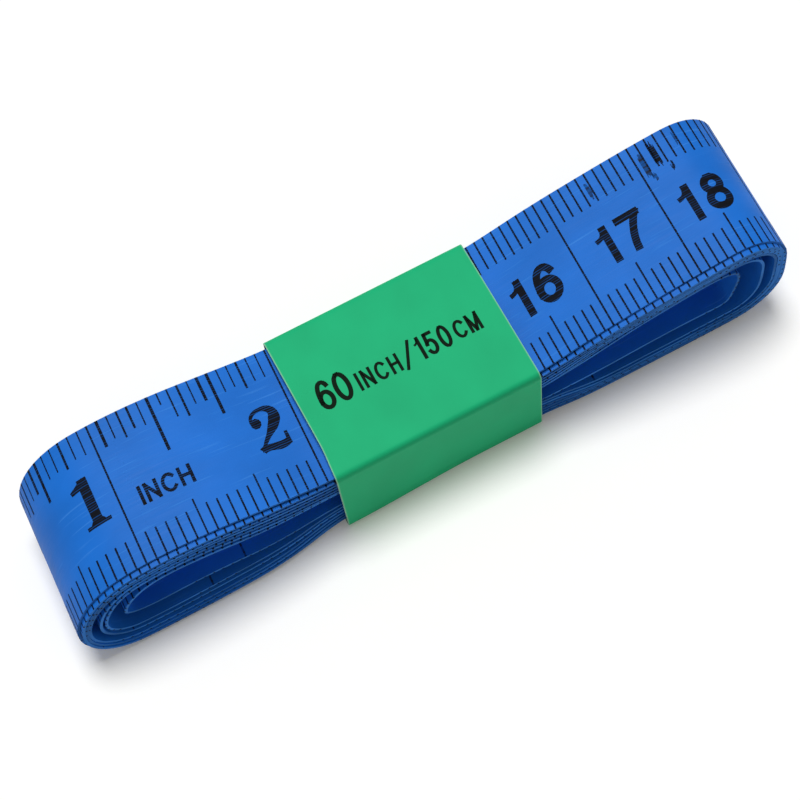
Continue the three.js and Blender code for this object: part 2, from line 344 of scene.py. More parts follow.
def tape_path(tape):
    """The tape's centre line, from its outer end inwards."""
    closed = Path(coil_outline(tape))
    count = len(closed.points) - 1
    end_x = END_TIP_LOW.x + TIP_NOSE
    points = []
    sides = []
    for i in range((tape.turns + 1) * count):
        point = closed.points[i % count]
        inward = -closed.normals[i % count]
        turn = i / count
        whole = i // count
        if whole == tape.turns and point.x < end_x:
            break
        left = point.x < 0
        insets = LEFT_INSETS if left else RIGHT_INSETS
        reach = -TAPE_LOW.x if left else TAPE_HIGH.x
        out = abs(point.x) - SLEEVE_HIGH.x
        closing = smooth(out, 0, LEFT_CLOSING if left else RIGHT_CLOSING)
        pitch = tape.waist_pitch + closing * (tape.run_pitch - tape.waist_pitch)
        rises = LEFT_RISES if left else RIGHT_RISES
        rise = of_turn(rises, whole) * max(0.0, inward.y) * smooth(out, 0, RISE_RUN)
        place = point + inward * (tape.thickness / 2 + pitch * turn + rise)
        share = max(0.0, (abs(point.x) - INSET_START) / (reach - INSET_START))
        spare = of_turn(insets, whole) - tape.run_pitch * turn
        place.x -= math.copysign(spare * share * share, point.x)
        clear = smooth(out, 0, LEFT_LEAN_RUN if left else RIGHT_LEAN_RUN)
        lean = (tape.left_lean if left else tape.right_lean) * (1 - place.y / TAPE_HIGH.z)
        if left:
            foot_sides, top_sides = LEFT_FOOT_SIDES, LEFT_TOP_SIDES
            above = smooth(place.y, FOOT_TOP, TOP_FOOT)
        else:
            foot_sides, top_sides = RIGHT_FOOT_SIDES, RIGHT_TOP_SIDES
            above = smooth(-inward.y, RIGHT_UPTURN, 1)
        foot = of_turn(foot_sides, whole)
        side = foot + (of_turn(top_sides, whole) - foot) * above
        held = INNER_HELD if whole else OUTER_HELD
        share = held + (1 - held) * smooth(out, 0, STAGGER_RUN if whole else OUTER_STAGGER_RUN)
        sides.append(share * side - clear * lean)
        points.append(place)
    irons = [of_turn(BEND_IRONS, i // count) for i in range(len(points))]
    along = ironed([point.x for point in points], irons)
    up = ironed([point.y for point in points], irons)
    return Path([Vector(point) for point in zip(along, up)], ironed(sides, [SIDE_IRON] * len(sides)))


# How far each loop is turned: its front lies further left than its back
LEFT_SKEW = 0.045
RIGHT_SKEW = 0.03
MAP_UNIT = 10 * MM


def lay_along(bm, path, across="Y"):
    """Lays a flat piece along a path. Flat X runs along it, Y lies across it and Z stands out of it.

    Each place on the flat piece is kept first, as a map in centimetres.
    """
    layer = bm.loops.layers.uv.new("flat")
    for face in bm.faces:
        for loop in face.loops:
            loop[layer].uv = (loop.vert.co.x / MAP_UNIT, loop.vert.co.y / MAP_UNIT)
    for vert in bm.verts:
        point, normal, side = path.at(vert.co.x)
        place = point + normal * vert.co.z
        if across == "Y":
            turned = smooth(-place.x, 0, SLEEVE_HIGH.x) * LEFT_SKEW
            turned += smooth(place.x, 0, SLEEVE_HIGH.x) * RIGHT_SKEW
            vert.co = Vector((place.x + turned * vert.co.y, side + vert.co.y, place.y))
        else:
            vert.co = Vector((vert.co.y, place.x, place.y))


def flat_sheet(length, width, thickness, rows, columns, edge_slot):
    """A flat slab of sheet from X = 0 to length, with Y and Z about its middle.

    Broad faces are shaded smooth, and the cut edges are sharp and take the finish of their slot.
    """
    bm = bmesh.new()
    bmesh.ops.create_grid(bm, x_segments=rows, y_segments=columns, size=0.5)
    size = Matrix.Diagonal((length, width, 1, 1))
    place = Matrix.Translation((length / 2, 0, thickness / 2))
    bmesh.ops.transform(bm, matrix=place @ size, verts=bm.verts)
    bmesh.ops.solidify(bm, geom=bm.faces[:], thickness=thickness)
    bmesh.ops.recalc_face_normals(bm, faces=bm.faces)
    for face in bm.faces:
        face.smooth = abs(face.normal.z) > FACING
        face.material_index = 0 if face.smooth else edge_slot
    for edge in bm.edges:
        edge.smooth = len({face.material_index for face in edge.link_faces}) == 1
    return bm


def put_in(name, data):
    """A new object of the scene."""
    thing = bpy.data.objects.new(name, data)
    bpy.context.scene.collection.objects.link(thing)
    return thing


def mesh_from(bm, name, materials):
    """A new object with the mesh and its materials."""
    mesh = bpy.data.meshes.new(name)
    bm.to_mesh(mesh)
    bm.free()
    for material in materials:
        mesh.materials.append(material)
    return put_in(name, mesh)


def piece_from(bm, name, materials, body):
    """A finished piece that rides on a body."""
    piece = mesh_from(bm, name, materials)
    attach(piece, body)
    return piece


def press_flat(piece):
    """Gives the piece a mesh of its own."""
    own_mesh(piece)


def new_material(name, colour, roughness, specular):
    """A plain material, with its nodes and its shader."""
    material = bpy.data.materials.new(name)
    material.use_nodes = True
    shader = material.node_tree.nodes["Principled BSDF"]
    shader.inputs["Base Color"].default_value = colour
    shader.inputs["Roughness"].default_value = roughness
    shader.inputs["Specular IOR Level"].default_value = specular
    return material, material.node_tree, shader


# The noise of the marks: how often it changes in a centimetre along and across, and its detail
MARK_NOISES = {"Streaks": ((1.1, 26, 1), 4), "Blotches": ((0.9, 1.3, 1), 3)}
RIBS_EACH_CM = 10
RIB_WAVER = 1.2


def feed(tree, socket, value):
    """Gives a socket a value, or a link to the socket that has it."""
    if isinstance(value, bpy.types.NodeSocket):
        tree.links.new(value, socket)
    else:
        socket.default_value = value


def add_node(tree, kind, inputs):
    """A node with its inputs, each a value or a socket."""
    node = tree.nodes.new("ShaderNode" + kind)
    for name, value in inputs.items():
        feed(tree, node.inputs[name], value)
    return node


def flat_map(tree):
    """The place on the flat piece, in centimetres."""
    node = tree.nodes.new("ShaderNodeUVMap")
    node.uv_map = "flat"
    return node.outputs["UV"]


def marks_group():
    """Marks that follow the flat piece: streaks along it, ribs across it and soft blotches."""
    name = "flat_marks"
    if name in bpy.data.node_groups:
        return bpy.data.node_groups[name]
    group = bpy.data.node_groups.new(name, "ShaderNodeTree")
    for output in ("Streaks", "Ribs", "Blotches"):
        group.interface.new_socket(output, in_out="OUTPUT", socket_type="NodeSocketFloat")
    out = group.nodes.new("NodeGroupOutput")
    flat = flat_map(group)
    for output, (stretch, detail) in MARK_NOISES.items():
        scale = add_node(group, "VectorMath", {0: flat, 1: stretch})
        scale.operation = "MULTIPLY"
        grain = add_node(group, "TexNoise", {"Vector": scale.outputs[0], "Scale": 1, "Detail": detail})
        group.links.new(grain.outputs["Fac"], out.inputs[output])
    wave = {"Vector": flat, "Scale": RIBS_EACH_CM, "Distortion": RIB_WAVER, "Detail": 1}
    ribs = add_node(group, "TexWave", wave)
    ribs.bands_direction = "Y"
    group.links.new(ribs.outputs["Fac"], out.inputs["Ribs"])
    return group


def add_marks(tree):
    """The outputs of the marks, added to a material."""
    marks = tree.nodes.new("ShaderNodeGroup")
    marks.node_tree = marks_group()
    return marks.outputs


def spread(tree, value, source, target=(0, 1)):
    """A value, spread from one range onto another."""
    ends = zip(("From Min", "From Max", "To Min", "To Max"), (*source, *target))
    return add_node(tree, "MapRange", {"Value": value, **dict(ends)}).outputs["Result"]


def reckon(tree, operation, *values):
    """The result of a sum on values or sockets."""
    node = add_node(tree, "Math", dict(enumerate(values)))
    node.operation = operation
    return node.outputs[0]


def blend(tree, share, first, second):
    """A colour between two, each a colour or a socket."""
    node = tree.nodes.new("ShaderNodeMix")
    node.data_type = "RGBA"
    tree.links.new(share, node.inputs["Factor"])
    for name, colour in (("A", first), ("B", second)):
        socket = [item for item in node.inputs if item.name == name and item.type == "RGBA"][0]
        feed(tree, socket, colour)
    return [item for item in node.outputs if item.type == "RGBA"][0]


def shade(colour, amount):
    """The colour, lighter or darker by an amount."""
    return [min(1.0, part * amount) for part in colour[:3]] + [1]


# The values of a mark between which it comes to show
MOST_MARKS = (0.3, 0.7)
FIBRES = (0.4, 0.6)
SCRATCHES = (0.6, 0.78)
RIB_TOPS = (0.55, 1.0)
INK_GAPS = (0.42, 0.62)
THIN_INK = (0.35, 0.65)
# How dark and how light a mottled colour gets
TAPE_TONES = (0.9, 1.1)
EDGE_TONES = (0.75, 1.25)
PAPER_TONES = (0.94, 1.06)


def mottled(tree, blotches, shown, colour, tones):
    """The colour, darker and lighter in soft blotches."""
    soft = spread(tree, blotches, shown)
    return blend(tree, soft, shade(colour, tones[0]), shade(colour, tones[1]))


TAPE_ROUGHNESS = (0.46, 0.58)
SCRATCH_STRENGTH = 0.6
RIB_STRENGTH = 0.12
RIB_HEIGHT = 0.02 * MM


def tape_finish(colours):
    """Coated cloth: ribbed across, scratched along and a little uneven."""
    material, tree, shader = new_material("coated_cloth", colours.tape, roughness=0.5, specular=0.12)
    marks = add_marks(tree)
    body = mottled(tree, marks["Blotches"], MOST_MARKS, colours.tape, TAPE_TONES)
    scratch = spread(tree, marks["Streaks"], SCRATCHES, (0, SCRATCH_STRENGTH))
    tree.links.new(blend(tree, scratch, body, colours.scratch), shader.inputs["Base Color"])
    rough = spread(tree, marks["Streaks"], MOST_MARKS, TAPE_ROUGHNESS)
    tree.links.new(rough, shader.inputs["Roughness"])
    relief = {"Height": marks["Ribs"], "Strength": RIB_STRENGTH, "Distance": RIB_HEIGHT}
    bump = add_node(tree, "Bump", relief)
    tree.links.new(bump.outputs["Normal"], shader.inputs["Normal"])
    return material


def edge_finish(colours):
    """The cut edge of the cloth, with its fibres showing, in a colour darkened a little for painted shade."""
    material, tree, shader = new_material("cloth_cut_edge", colours.cut_edge, roughness=0.8, specular=0.1)
    tone = mottled(tree, add_marks(tree)["Blotches"], FIBRES, colours.cut_edge, EDGE_TONES)
    tree.links.new(tone, shader.inputs["Base Color"])
    return material


THREAD_SHOWS = 0.5
THREAD_SHADE = 0.8


def ink_finish(colours):
    """Black ink, broken here and there along the threads."""
    material, tree, shader = new_material("tape_ink", colours.ink, roughness=0.7, specular=0.06)
    marks = add_marks(tree)
    thread = spread(tree, marks["Ribs"], RIB_TOPS, (0, THREAD_SHOWS))
    gap = spread(tree, marks["Streaks"], INK_GAPS)
    broken = reckon(tree, "MULTIPLY", thread, gap)
    tone = blend(tree, broken, colours.ink, shade(colours.tape, THREAD_SHADE))
    tree.links.new(tone, shader.inputs["Base Color"])
    return material


FAINT_SHADE = 0.4
FAINT_INK_SHADE = 3
FAINT_CLOTH_SHADE = 0.6


def faint_ink_finish(colours):
    """Ink that is smeared thin: it shows the cloth in patches."""
    base = shade(colours.tape, FAINT_SHADE)
    material, tree, shader = new_material("faint_ink", base, roughness=0.7, specular=0.06)
    thin = spread(tree, add_marks(tree)["Streaks"], THIN_INK)
    tone = blend(tree, thin, shade(colours.ink, FAINT_INK_SHADE), shade(colours.tape, FAINT_CLOTH_SHADE))
    tree.links.new(tone, shader.inputs["Base Color"])
    return material


def distance_from(tree, axis, place):
    """How far each point of the flat piece lies from a place along an axis, in centimetres."""
    parts = add_node(tree, "SeparateXYZ", {"Vector": flat_map(tree)})
    return reckon(tree, "ABSOLUTE", reckon(tree, "SUBTRACT", parts.outputs[axis], place))


# How far the worn edge and the painted shade of the crease reach, in centimetres, and how strongly they show
WORN_EDGE = 0.02
WORN_STRENGTH = 0.5
CREASE_REACH = 0.06
PAINTED_CREASE_SHADE = 0.72


def paper_finish(colours, crease):
    """Printed paper, worn pale at its cut edges, with painted shade along its crease."""
    material, tree, shader = new_material("sleeve_paper", colours.paper, roughness=0.6, specular=0.12)
    tone = mottled(tree, add_marks(tree)["Blotches"], MOST_MARKS, colours.paper, PAPER_TONES)
    half = (SLEEVE_HIGH.x - SLEEVE_LOW.x) / 2 / MAP_UNIT
    # Painted shade: the paper is darkened along the front crease, where shade falls on the rounded fold
    pressed = spread(tree, distance_from(tree, "X", crease / MAP_UNIT), (0, CREASE_REACH), (1, 0))
    tone = blend(tree, pressed, tone, shade(colours.paper, PAINTED_CREASE_SHADE))
    worn = spread(tree, distance_from(tree, "Y", 0), (half - WORN_EDGE, half), (0, WORN_STRENGTH))
    tree.links.new(blend(tree, worn, tone, colours.paper_core), shader.inputs["Base Color"])
    return material


def core_finish(colours):
    """The unprinted paper of the cut edges."""
    return new_material("paper_core", colours.paper_core, roughness=0.8, specular=0.2)[0]


def lettering_finish(colours):
    """The ink on the sleeve."""
    return new_material("sleeve_ink", colours.sleeve_ink, roughness=0.7, specular=0.06)[0]


METAL_ROUGHNESS = (0.25, 0.45)


def metal_finish(colours):
    """Plated metal, polished along its length."""
    material, tree, shader = new_material("tip_metal", colours.metal, roughness=0.35, specular=0.5)
    shader.inputs["Metallic"].default_value = 1
    rough = spread(tree, add_marks(tree)["Streaks"], MOST_MARKS, METAL_ROUGHNESS)
    tree.links.new(rough, shader.inputs["Roughness"])
    return material


TAPE_ROW = 0.6 * MM
TAPE_COLUMNS = 8


class TAPE_OT_wind(bpy.types.Operator):
    """Cut the tape flat and wind it"""

    bl_idname = "tape_measure.wind_tape"
    bl_label = "Wind Tape"

    def execute(self, context):
        tape = context.scene.tape_sizes
        path = tape_path(tape)
        rows = round(path.length / TAPE_ROW)
        bm = flat_sheet(path.length, tape.width, tape.thickness, rows, TAPE_COLUMNS, edge_slot=1)
        lay_along(bm, path)
        colours = context.scene.tape_colours
        piece = piece_from(bm, "tape", [tape_finish(colours), edge_finish(colours)], "coil")
        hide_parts("tape_strip")
        press_flat(piece)
        print("tape length %.1f mm" % (path.length / MM))
        return {"FINISHED"}


OVAL_STEPS = 28
CURVE_STEPS = 24


def oval(x, y, wide, high, start, stop):
    """Points round an oval, from one angle in degrees to another."""
    angles = sweep(start, stop, OVAL_STEPS)
    return [(x + wide * math.cos(a), y + high * math.sin(a)) for a in angles]


def swoop(*handles):
    """Points of a curve with two handles, flat."""
    corners = [Vector((*handle, 0)) for handle in handles]
    return [tuple(point.xy) for point in interpolate_bezier(*corners, CURVE_STEPS)]


# Each sign's width as a share of its height, and the lines of the pen in a unit box
SIGNS = {
    "0": (0.6, [oval(0.5, 0.5, 0.5, 0.5, 90, 456)]),
    "1": (0.37, [[(1, 0), (1, 1)], swoop((0.8, 0.94), (0.7, 0.83), (0.5, 0.77), (0, 0.75))]),
    "2": (0.6, [oval(0.5, 0.7, 0.5, 0.3, 175, -30) + [(0.02, 0)], [(0, 0), (1, 0)]]),
    "3": (0.6, [oval(0.48, 0.76, 0.44, 0.24, 165, -90), oval(0.46, 0.27, 0.54, 0.27, 90, -165)]),
    "4": (0.6, [[(0.74, 0), (0.74, 1)], [(0.74, 1), (0, 0.3)], [(0, 0.28), (1, 0.28)]]),
    "5": (0.58, [[(0.9, 1), (0.18, 1)], [(0.18, 1), (0.06, 0.5)], oval(0.47, 0.33, 0.53, 0.33, 140, -150)]),
    "6": (0.58, [oval(0.5, 0.31, 0.5, 0.31, 180, 546), swoop((0.94, 0.84), (0.8, 1.1), (0, 1.14), (0, 0.3))]),
    "7": (0.58, [[(0, 1), (1, 1)], swoop((1, 1), (0.62, 0.72), (0.36, 0.36), (0.3, 0))]),
    "8": (0.58, [oval(0.5, 0.77, 0.42, 0.23, 90, 456), oval(0.5, 0.27, 0.5, 0.27, 90, 456)]),
    "9": (0.58, [oval(0.5, 0.69, 0.5, 0.31, 0, 366), swoop((0.06, 0.16), (0.2, -0.1), (1, -0.14), (1, 0.7))]),
    "I": (0, [[(0, 0), (0, 1)]]),
    "N": (0.68, [[(0, 0), (0, 1)], [(0, 1), (1, 0)], [(1, 0), (1, 1)]]),
    "C": (0.76, [oval(0.52, 0.5, 0.52, 0.5, 42, 318)]),
    "H": (0.68, [[(0, 0), (0, 1)], [(0, 0.52), (1, 0.52)], [(1, 0), (1, 1)]]),
    "M": (0.8, [[(0, 0), (0, 1)], [(0, 1), (0.5, 0)], [(0.5, 0), (1, 1)], [(1, 1), (1, 0)]]),
    "/": (0.62, [[(0, 0), (1, 1)]]),
}
# Strokes thinner than the pen, by their sign and place in it
THIN_STROKES = {("1", 1): 0.62}
STROKE_STEP = 0.25 * MM
# How far each stroke of a sign lies above the one before it
INK_LAYER = 0.003 * MM


def pen_stroke(bm, points, widths, layer):
    """One stroke of a pen through flat points, its width spread along it, on the strokes before it."""
    path = Path(points)
    steps = max(1, round(path.length / STROKE_STEP))
    columns = max(1, round(max(widths) / STROKE_STEP))
    made = bmesh.ops.create_grid(bm, x_segments=steps, y_segments=columns, size=0.5)
    for vert in made["verts"]:
        share = vert.co.x + 0.5
        point, normal = path.at(share * path.length)[:2]
        i = min(int(share * (len(widths) - 1)), len(widths) - 2)
        width = widths[i] + (widths[i + 1] - widths[i]) * (share * (len(widths) - 1) - i)
        vert.co = (*(point + normal * vert.co.y * width), layer * INK_LAYER)


def with_caps(points, reach):
    """An open line, longer by a reach at each end."""
    first = (points[0] - points[1]).normalized() * reach
    last = (points[-1] - points[-2]).normalized() * reach
    return [points[0] + first, *points, points[-1] + last]


def trim(bm, across, low, high):
    """Cuts off what stands out of a band."""
    for place, outward in ((low, -1), (high, 1)):
        bmesh.ops.bisect_plane(
            bm, geom=bm.verts[:] + bm.edges[:] + bm.faces[:], plane_co=across * place,
            plane_no=across * outward, clear_outer=True
        )


def sans_line(words, height, pen, gap, left, foot, narrow=1.0):
    """A line of plain lettering, flat, from its left end and its foot."""
    bm = bmesh.new()
    for sign in words:
        share, strokes = SIGNS[sign]
        room = max(share * height * narrow - pen, 0)
        for layer, stroke in enumerate(strokes):
            points = []
            for x, y in stroke:
                points.append(Vector((left + pen / 2 + x * room, foot + pen / 2 + y * (height - pen))))
            width = pen * THIN_STROKES.get((sign, layer), 1)
            pen_stroke(bm, with_caps(points, width / 2), [width, width], layer)
        left += room + pen + gap
    trim(bm, Vector((0, 1, 0)), foot, foot + height)
    return bm


def drawn(strokes, height, left, foot, narrow=1.0):
    """A figure from its strokes in a unit box, each with the widths of the pen along it."""
    bm = bmesh.new()
    for layer, (points, widths) in enumerate(strokes):
        place = [Vector((left + x * height * narrow, foot + y * height)) for x, y in points]
        pen_stroke(bm, place, [width * height for width in widths], layer)
    return bm


def serif_one(height, left, foot):
    """A figure 1 with a slab foot and a long flag."""
    strokes = [
        ([(0.28, 0.02), (0.28, 1.0)], [0.2, 0.2]),
        ([(0.03, 0.035), (0.53, 0.035)], [0.07, 0.07]),
        ([(0.28, 0.14), (0.28, 0.05)], [0.2, 0.34]),
        ([(0.33, 0.96), (0.16, 0.86), (0.0, 0.82)], [0.12, 0.14, 0.08]),
    ]
    return drawn(strokes, height, left, foot)


TWO_NARROW = 0.88


def serif_two(height, left, foot):
    """A figure 2 with a ball, a swelling bow and a waved foot."""
    bow = swoop((0.06, 0.74), (0.06, 0.93), (0.24, 0.97), (0.36, 0.97))
    bow += swoop((0.36, 0.97), (0.62, 0.97), (0.68, 0.8), (0.6, 0.66))[1:]
    bow += swoop((0.6, 0.66), (0.5, 0.46), (0.16, 0.3), (0.05, 0.05))[1:]
    strokes = [
        (bow, [0.07, 0.08, 0.09, 0.17, 0.26, 0.22, 0.12, 0.08, 0.07]),
        (oval(0.155, 0.7, 0.06, 0.06, 0, 370), [0.125, 0.125]),
        (swoop((0.03, 0.08), (0.2, 0.19), (0.44, 0.0), (0.7, 0.1)), [0.16, 0.15, 0.18, 0.16]),
        ([(0.715, 0.03), (0.715, 0.33)], [0.09, 0.07]),
    ]
    return drawn(strokes, height, left, foot, TWO_NARROW)


def joined(parts):
    """Several flat pieces as one."""
    whole = bmesh.new()
    for part in parts:
        mesh = bpy.data.meshes.new("part")
        part.to_mesh(mesh)
        part.free()
        whole.from_mesh(mesh)
        bpy.data.meshes.remove(mesh)
    return whole


# Boxes are made in lots, because one long list of them is slow
BOXES_EACH = 150


def stamped(marks, face, depth=INK_DEPTH):
    """Thin printed boxes. Each mark is its middle along, its low and high end across, and its width."""
    parts = []
    for start in range(0, len(marks), BOXES_EACH):
        part = bmesh.new()
        for along, low, high, width in marks[start:start + BOXES_EACH]:
            place = Matrix.Translation((along, (low + high) / 2, face))
            size = Matrix.Diagonal((width, high - low, depth, 1))
            bmesh.ops.create_cube(part, size=1, matrix=place @ size)
        parts.append(part)
    return joined(parts)


def distance_on_top(path, x):
    """How far along the tape its first run over the top passes a place."""
    for i, point in enumerate(path.points):
        if path.normals[i].y > FACING and point.x >= x:
            return path.run[i]
    return path.length


# Ticks of an inch at the back edge: their place, length and width in mm
BACK_TICKS = {
    1: (3.9, 0.4), 3: (3.9, 0.26), 4: (3.2, 0.3), 6: (7.9, 0.42), 7: (1.8, 0.2),
    8: (4.1, 0.22), 9: (4.6, 0.3), 11: (3.5, 0.4), 12: (5.9, 0.42), 15: (4.1, 0.3),
}
# Its other ticks at the back, and its ticks at the front, of which every sixth is long
SHORT_BACK = (3.4, 0.18)
SHORT_FRONT = (3.75, 0.24)
LONG_FRONT = (4.9, 0.22)
LONG_FRONT_EACH = 6
# Ticks of a cell at the back and front edge: length and width in mm
CELL_BACK = (4.5, 0.24)
CELL_FRONT = (3.95, 0.24)
CELL_FRONT_LONG = (5.7, 0.24)
# How uneven the ticks are, how quickly that changes along the tape, and which noise each scale takes
BACK_UNEVEN = 0.09
FRONT_UNEVEN = 0.05
UNEVEN_CHANGE = 300
INCH_NOISE = 0
CELL_NOISE = 9
FRONT_NOISE = 5


def edge_marks(along, half, back, front, seed):
    """A tick at each edge, from its length and width in mm."""
    reach = 1 + BACK_UNEVEN * noise.noise(Vector((along * UNEVEN_CHANGE, seed, 0)))
    far = 1 + FRONT_UNEVEN * noise.noise(Vector((along * UNEVEN_CHANGE, seed + FRONT_NOISE, 0)))
    return [
        (along, half - back[0] * reach * MM, half, back[1] * MM),
        (along, -half, front[0] * far * MM - half, front[1] * MM),
    ]


def scale_row(start, stop, origin, size, ticks, half, line, seed):
    """Marks of a scale between two places: a line at each whole size, and the ticks between lines."""
    step = size / len(ticks)
    marks = []
    for count in range(math.ceil((start - origin) / step), math.floor((stop - origin) / step)):
        along = origin + count * step
        part = count % len(ticks)
        if part:
            marks += edge_marks(along, half, *ticks[part], seed)
        else:
            marks.append((along, -half, half, line))
    return marks


# Blots and smears of the press by the line at 17: ticks from it, reach from the back edge and width in mm
BLOTS = [(2.2, 1.3, 4.3, 0.9), (3.2, 5.0, 6.0, 0.5)]
SMEARS = [(0.75, 1.6, 5.2, 0.7), (1.1, 5.0, 5.9, 0.6), (-5.3, 1.8, 3.4, 0.6), (4.9, 1.2, 2.6, 0.5)]
# They are dabbed in strips: the width of one and how ragged their ends are, in mm, and how they vary
SPOT_STRIP = 0.09
SPOT_RAGGED = 1.1
SPOT_CHANGE = 0.43


def blots(sizes, path, half, spots):
    """Spots of ink by the line at 17, ragged at both ends."""
    line = distance_on_top(path, sizes.first_cell) + sizes.cell
    step = sizes.cell / sizes.cell_parts
    marks = []
    for ticks, near, far, width in spots:
        count = round(width / SPOT_STRIP)
        for i in range(count):
            along = line + ticks * step + ((i + 0.5) / count - 0.5) * width * MM
            top = near + SPOT_RAGGED * noise.noise(Vector((ticks, i * SPOT_CHANGE, near)))
            foot = far + SPOT_RAGGED * noise.noise(Vector((ticks, i * SPOT_CHANGE, far)))
            if foot > top:
                marks.append((along, half - foot * MM, half - top * MM, width * MM / count))
    return marks


# How far from each end of the tape the print stops, for the tip
TIP_REACH = 8.5 * MM


def scale_marks(sizes, path, half):
    """All lines and ticks of the outer face: inches up to the sleeve, cells after it."""
    ticks = []
    for part in range(sizes.inch_parts):
        front = SHORT_FRONT if part % LONG_FRONT_EACH else LONG_FRONT
        ticks.append((BACK_TICKS.get(part, SHORT_BACK), front))
    change = distance_on_top(path, 0)
    origin = distance_on_top(path, sizes.first_inch)
    marks = scale_row(TIP_REACH, change, origin, sizes.inch, ticks, half, sizes.line, INCH_NOISE)
    ticks = [(CELL_BACK, CELL_FRONT)] * sizes.cell_parts
    ticks[sizes.cell_parts // 2] = (CELL_BACK, CELL_FRONT_LONG)
    stop = path.length - TIP_REACH
    origin = distance_on_top(path, sizes.first_cell)
    marks += scale_row(change, stop, origin, sizes.cell, ticks, half, sizes.line, CELL_NOISE)
    return marks + blots(sizes, path, half, BLOTS)


# How far the ink runs down the cut edge, as a share of the cloth's thickness
EDGE_INK = 0.5
# How quickly the press's pressure changes along the tape, and below which the edge stays clean
PRESSURE_CHANGE = 60
CLEAN_EDGE = 0.05


def edge_ink(marks, half, thickness):
    """The ink of the ticks at the front runs down the cut edge where the press was pressed hard."""
    depth = EDGE_INK * thickness
    ends = []
    for along, low, _, width in marks:
        pressure = noise.noise(Vector((along * PRESSURE_CHANGE, 0, 0)))
        if low == -half and pressure > CLEAN_EDGE:
            ends.append((along, -half - INK_LIFT - INK_DEPTH, -half - INK_LIFT, width))
    return stamped(ends, (thickness - depth) / 2, depth)


# Lines of the inner face: the cells from one to the next, and where the first one lies
INNER_LINE_CELLS = 4
INNER_FIRST_LINE = 32.5 * MM


def inner_marks(sizes, start, stop, half):
    """Lines of the inner face between two places."""
    step = sizes.cell * INNER_LINE_CELLS
    count = math.floor((stop - start) / step)
    return [(start + i * step, -half, half, sizes.line) for i in range(count)]


# The figures of the cells: size, foot from the tape's middle, and how far each starts before its line
FIGURE_HEIGHT = 5.5 * MM
FIGURE_WIDE = 1.1
FIGURE_PEN = 1.02 * MM
FIGURE_GAP = 1.15 * MM
FIGURE_FOOT = -3.15 * MM
FIGURE_BACK = 9.85 * MM
# Figures that are printed a little out of line, along and across in mm
FIGURE_SHIFTS = {16: (0.1, 0), 17: (0.2, 0), 18: (-0.85, -0.7)}
FIRST_FIGURE = 16
LAST_FIGURE = 24
# The inches: height, start from their line, and foot from the tape's middle
ONE_HEIGHT = 6.7 * MM
ONE_START = -5.1 * MM
ONE_FOOT = -2.6 * MM
TWO_HEIGHT = 6.2 * MM
TWO_START = -6.0 * MM
TWO_FOOT = -3.4 * MM
# The word after the first inch line: height, pen and gap, then start and foot
WORD_SIZES = in_mm(2.65, 0.45, 0.36)
WORD_START = 2.55 * MM
WORD_FOOT = -3.1 * MM


def figures(sizes, path):
    """The figures of the first turn, laid out flat."""
    parts = []
    origin = distance_on_top(path, sizes.first_cell)
    for number in range(FIRST_FIGURE, LAST_FIGURE + 1):
        along, across = FIGURE_SHIFTS.get(number, (0, 0))
        left = origin + (number - FIRST_FIGURE) * sizes.cell - FIGURE_BACK + along * MM
        foot = FIGURE_FOOT + across * MM
        line = (str(number), FIGURE_HEIGHT, FIGURE_PEN, FIGURE_GAP, left, foot, FIGURE_WIDE)
        parts.append(sans_line(*line))
    inch = distance_on_top(path, sizes.first_inch)
    parts.append(serif_one(ONE_HEIGHT, inch + ONE_START, ONE_FOOT))
    parts.append(sans_line("INCH", *WORD_SIZES, inch + WORD_START, WORD_FOOT))
    parts.append(serif_two(TWO_HEIGHT, inch + sizes.inch + TWO_START, TWO_FOOT))
    return joined(parts)


# How far smeared ink lies below the strong print
SMEAR_SINK = INK_DEPTH / 3


class TAPE_OT_print_scale(bpy.types.Operator):
    """Print the lines, ticks and figures on the flat tape and wind them with it"""

    bl_idname = "tape_measure.print_scale"
    bl_label = "Print Scale"

    def execute(self, context):
        tape = context.scene.tape_sizes
        sizes = context.scene.print_sizes
        path = tape_path(tape)
        ink = ink_finish(context.scene.tape_colours)
        face = tape.thickness / 2 + INK_LIFT + INK_DEPTH / 2
        half = tape.width / 2
        marks = scale_marks(sizes, path, half)
        outer = joined([stamped(marks, face), edge_ink(marks, half, tape.thickness)])
        inner = stamped(inner_marks(sizes, INNER_FIRST_LINE, path.length - TIP_REACH, half), -face)
        labels = figures(sizes, path)
        bmesh.ops.translate(labels, vec=(0, 0, face + INK_DEPTH / 2), verts=labels.verts)
        bmesh.ops.solidify(labels, geom=labels.faces[:], thickness=INK_DEPTH)
        smears = stamped(blots(sizes, path, half, SMEARS), face - SMEAR_SINK)
        faint = faint_ink_finish(context.scene.tape_colours)
        strong = [("outer_scale", outer, ink), ("figures", labels, ink)]
        for name, bm, finish in [*strong, ("inner_scale", inner, faint), ("ink_smears", smears, faint)]:
            lay_along(bm, path)
            press_flat(piece_from(bm, name, [finish], "coil"))
        return {"FINISHED"}


TIP_WALL = 0.2 * MM
TIP_ROWS = 60
TIP_COLUMNS = 4
TIP_FOLD_STEPS = 24


def tip_path(low, high, facing):
    """The fold of a tip, open towards the tape."""
    middle = (low.z + high.z) / 2
    radius = (high.z - low.z - TIP_WALL) / 2
    nose = high.x if facing > 0 else low.x
    tail = low.x if facing > 0 else high.x
    centre = Vector((nose - facing * (radius + TIP_WALL / 2), middle))
    fold = arc(centre, radius, 90, 90 - facing * 180, TIP_FOLD_STEPS)
    return Path([Vector((tail, middle + radius)), *fold, Vector((tail, middle - radius))])


